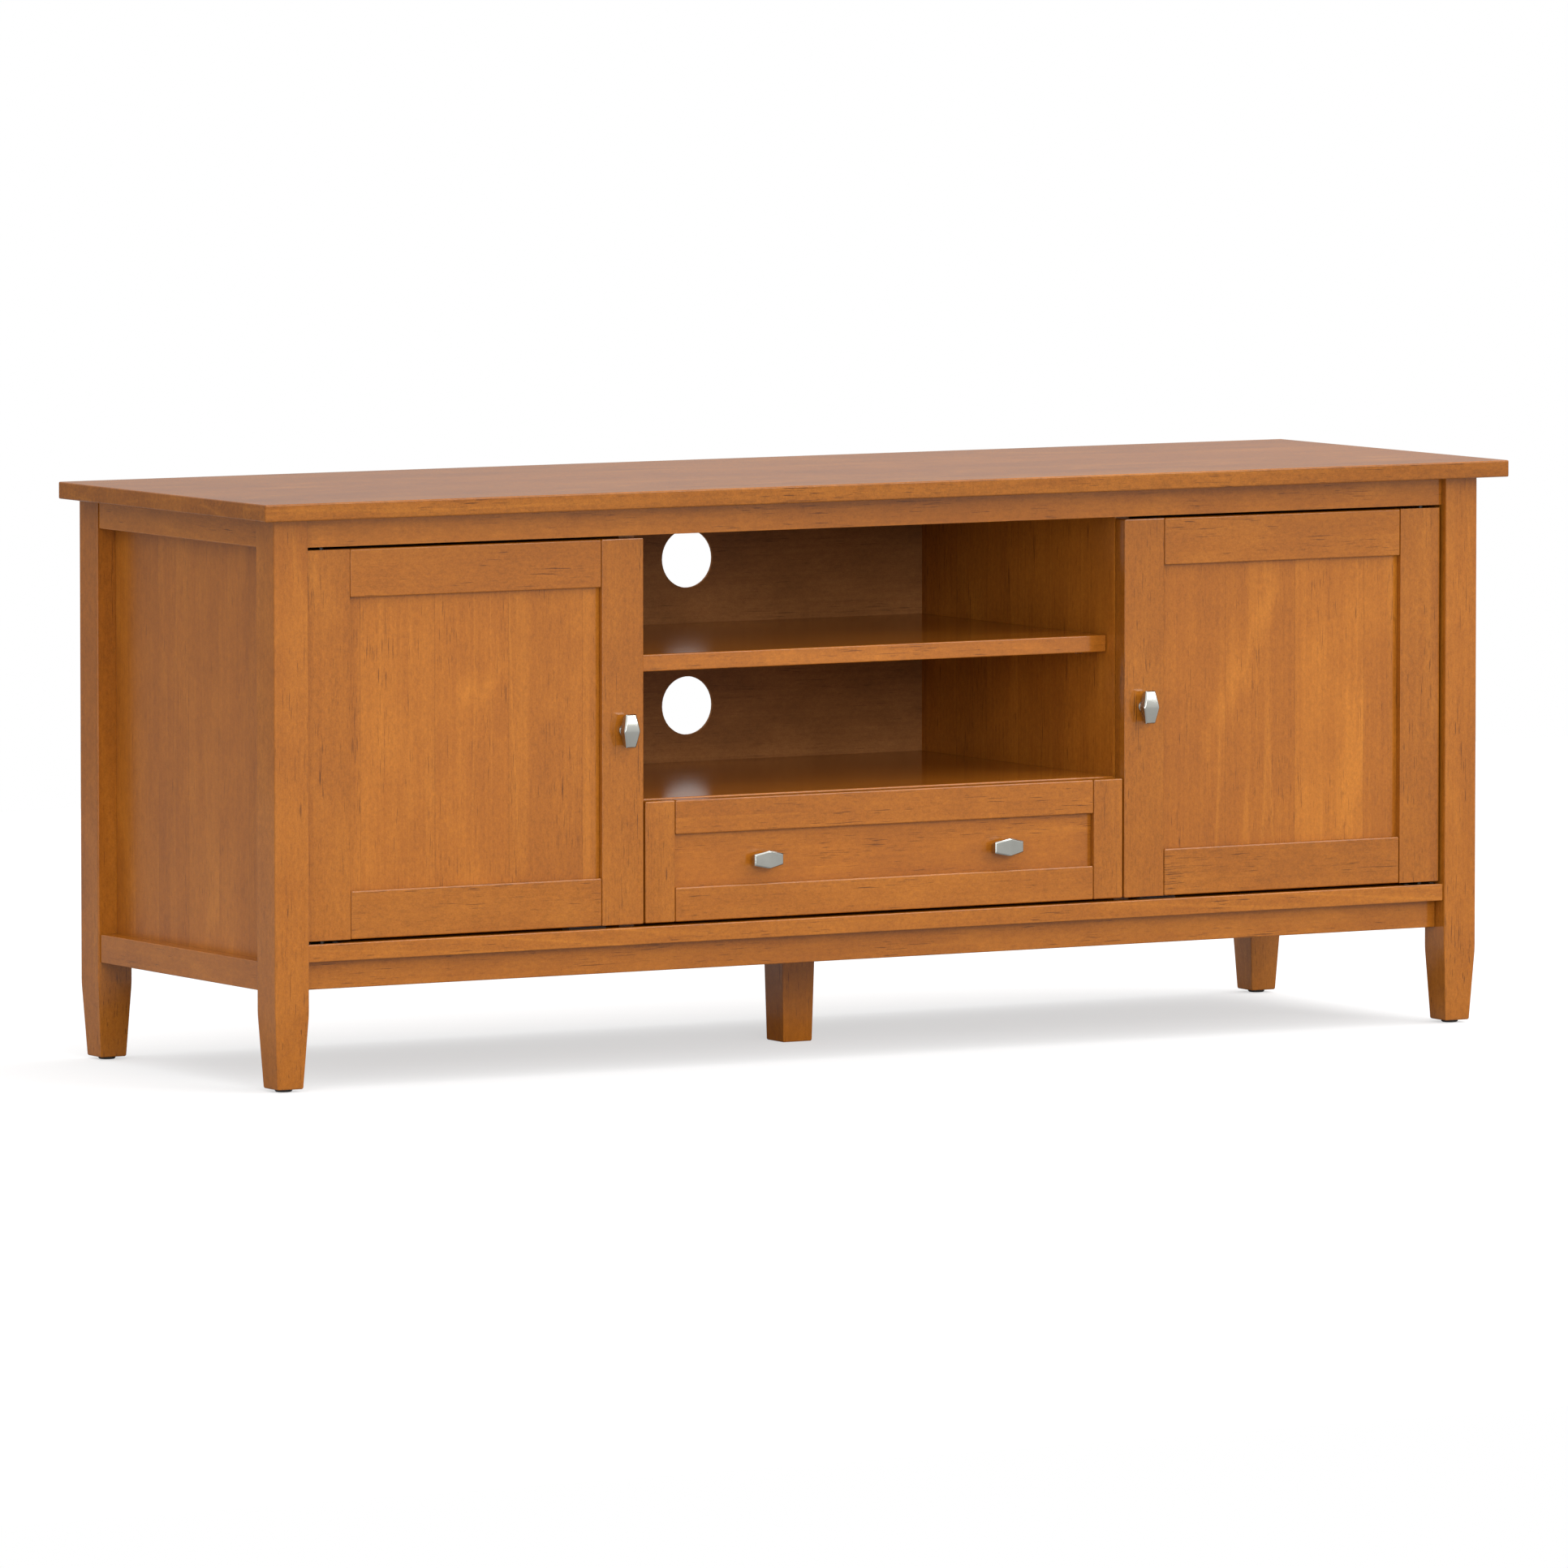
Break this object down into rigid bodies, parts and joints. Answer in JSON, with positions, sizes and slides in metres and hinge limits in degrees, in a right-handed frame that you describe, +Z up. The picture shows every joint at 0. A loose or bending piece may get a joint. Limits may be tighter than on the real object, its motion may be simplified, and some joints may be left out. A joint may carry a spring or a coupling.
{
  "type": "media cabinet",
  "caption": "Low wooden media cabinet with framed hinged doors at the sides, open niches with cable holes and a framed drawer between, on tapered legs.",
  "frame": {"origin": "floor level under the centre of the top", "axes": "+X to the right along the width, +Y from the front to the back, +Z up; doors and drawer face -Y"},
  "size_m": [1.524, 0.457, 0.61],
  "materials": {
    "top_wood": "satin lacquer over honey stain",
    "frame_wood": "satin lacquer over honey stain",
    "front_wood": "satin lacquer over honey stain",
    "inside_wood": "glossy lacquer over honey stain",
    "back_wood": "stained plywood",
    "drawer_box_wood": "clear lacquer",
    "knob_nickel": "satin nickel",
    "zinc_steel": "zinc plated",
    "plate_steel": "black oxide",
    "glide_plastic": "matt",
    "catch_plastic": "matt"
  },
  "bodies": {
    "carcass": {"top_panel": "top_wood", "post_front_left": "frame_wood", "post_front_right": "frame_wood", "post_back_left": "frame_wood", "post_back_right": "frame_wood", "leg_glides": "glide_plastic", "centre_leg": "frame_wood", "front_apron": "frame_wood", "back_top_rail": "frame_wood", "side_top_rail_left": "frame_wood", "side_top_rail_right": "frame_wood", "side_bottom_rail_left": "frame_wood", "side_bottom_rail_right": "frame_wood", "front_skirt": "frame_wood", "back_skirt": "frame_wood", "side_panel_left": "frame_wood", "side_panel_right": "frame_wood", "bottom_board": "inside_wood", "divider_left": "inside_wood", "divider_right": "inside_wood", "drawer_deck": "inside_wood", "niche_shelf": "inside_wood", "cabinet_shelf_left": "inside_wood", "cabinet_shelf_right": "inside_wood", "shelf_pins": "zinc_steel", "back_panel": "back_wood", "runner_outer": "zinc_steel", "pivot_plates": "plate_steel", "door_catches": "catch_plastic", "carcass_screws": "zinc_steel"},
    "runner_middle": {"runner_middle": "zinc_steel"},
    "door_left": {"door_left_hinge_stile": "front_wood", "door_left_latch_stile": "front_wood", "door_left_top_rail": "front_wood", "door_left_bottom_rail": "front_wood", "door_left_panel": "front_wood", "door_left_knob": "knob_nickel", "door_left_strike": "zinc_steel", "door_left_screws": "zinc_steel"},
    "door_right": {"door_right_hinge_stile": "front_wood", "door_right_latch_stile": "front_wood", "door_right_top_rail": "front_wood", "door_right_bottom_rail": "front_wood", "door_right_panel": "front_wood", "door_right_knob": "knob_nickel", "door_right_strike": "zinc_steel", "door_right_screws": "zinc_steel"},
    "drawer": {"drawer_stile_left": "front_wood", "drawer_stile_right": "front_wood", "drawer_top_rail": "front_wood", "drawer_bottom_rail": "front_wood", "drawer_panel": "front_wood", "drawer_side_left": "drawer_box_wood", "drawer_side_right": "drawer_box_wood", "drawer_back": "drawer_box_wood", "drawer_bottom": "drawer_box_wood", "drawer_knobs": "knob_nickel", "runner_inner": "zinc_steel", "drawer_screws": "zinc_steel"}
  },
  "joints": [
    {"name": "door_left_hinge", "type": "hinge", "parent": "carcass", "child": "door_left", "pos_m": [-0.675, -0.1865, 0.155], "axis": [0, 0, -1], "range_deg": [0, 110]},
    {"name": "door_right_hinge", "type": "hinge", "parent": "carcass", "child": "door_right", "pos_m": [0.675, -0.1865, 0.155], "axis": [0, 0, 1], "range_deg": [0, 110]},
    {"name": "drawer_slide", "type": "slide", "parent": "carcass", "child": "drawer", "axis": [0, -1, 0], "range_m": [0, 0.28]},
    {"name": "runner_middle_slide", "type": "slide", "parent": "carcass", "child": "runner_middle", "axis": [0, -1, 0], "range_m": [0, 0.14]}
  ],
  "couplings": [
    {"joint": "runner_middle_slide", "follows": "drawer_slide", "ratio": 0.5}
  ]
}
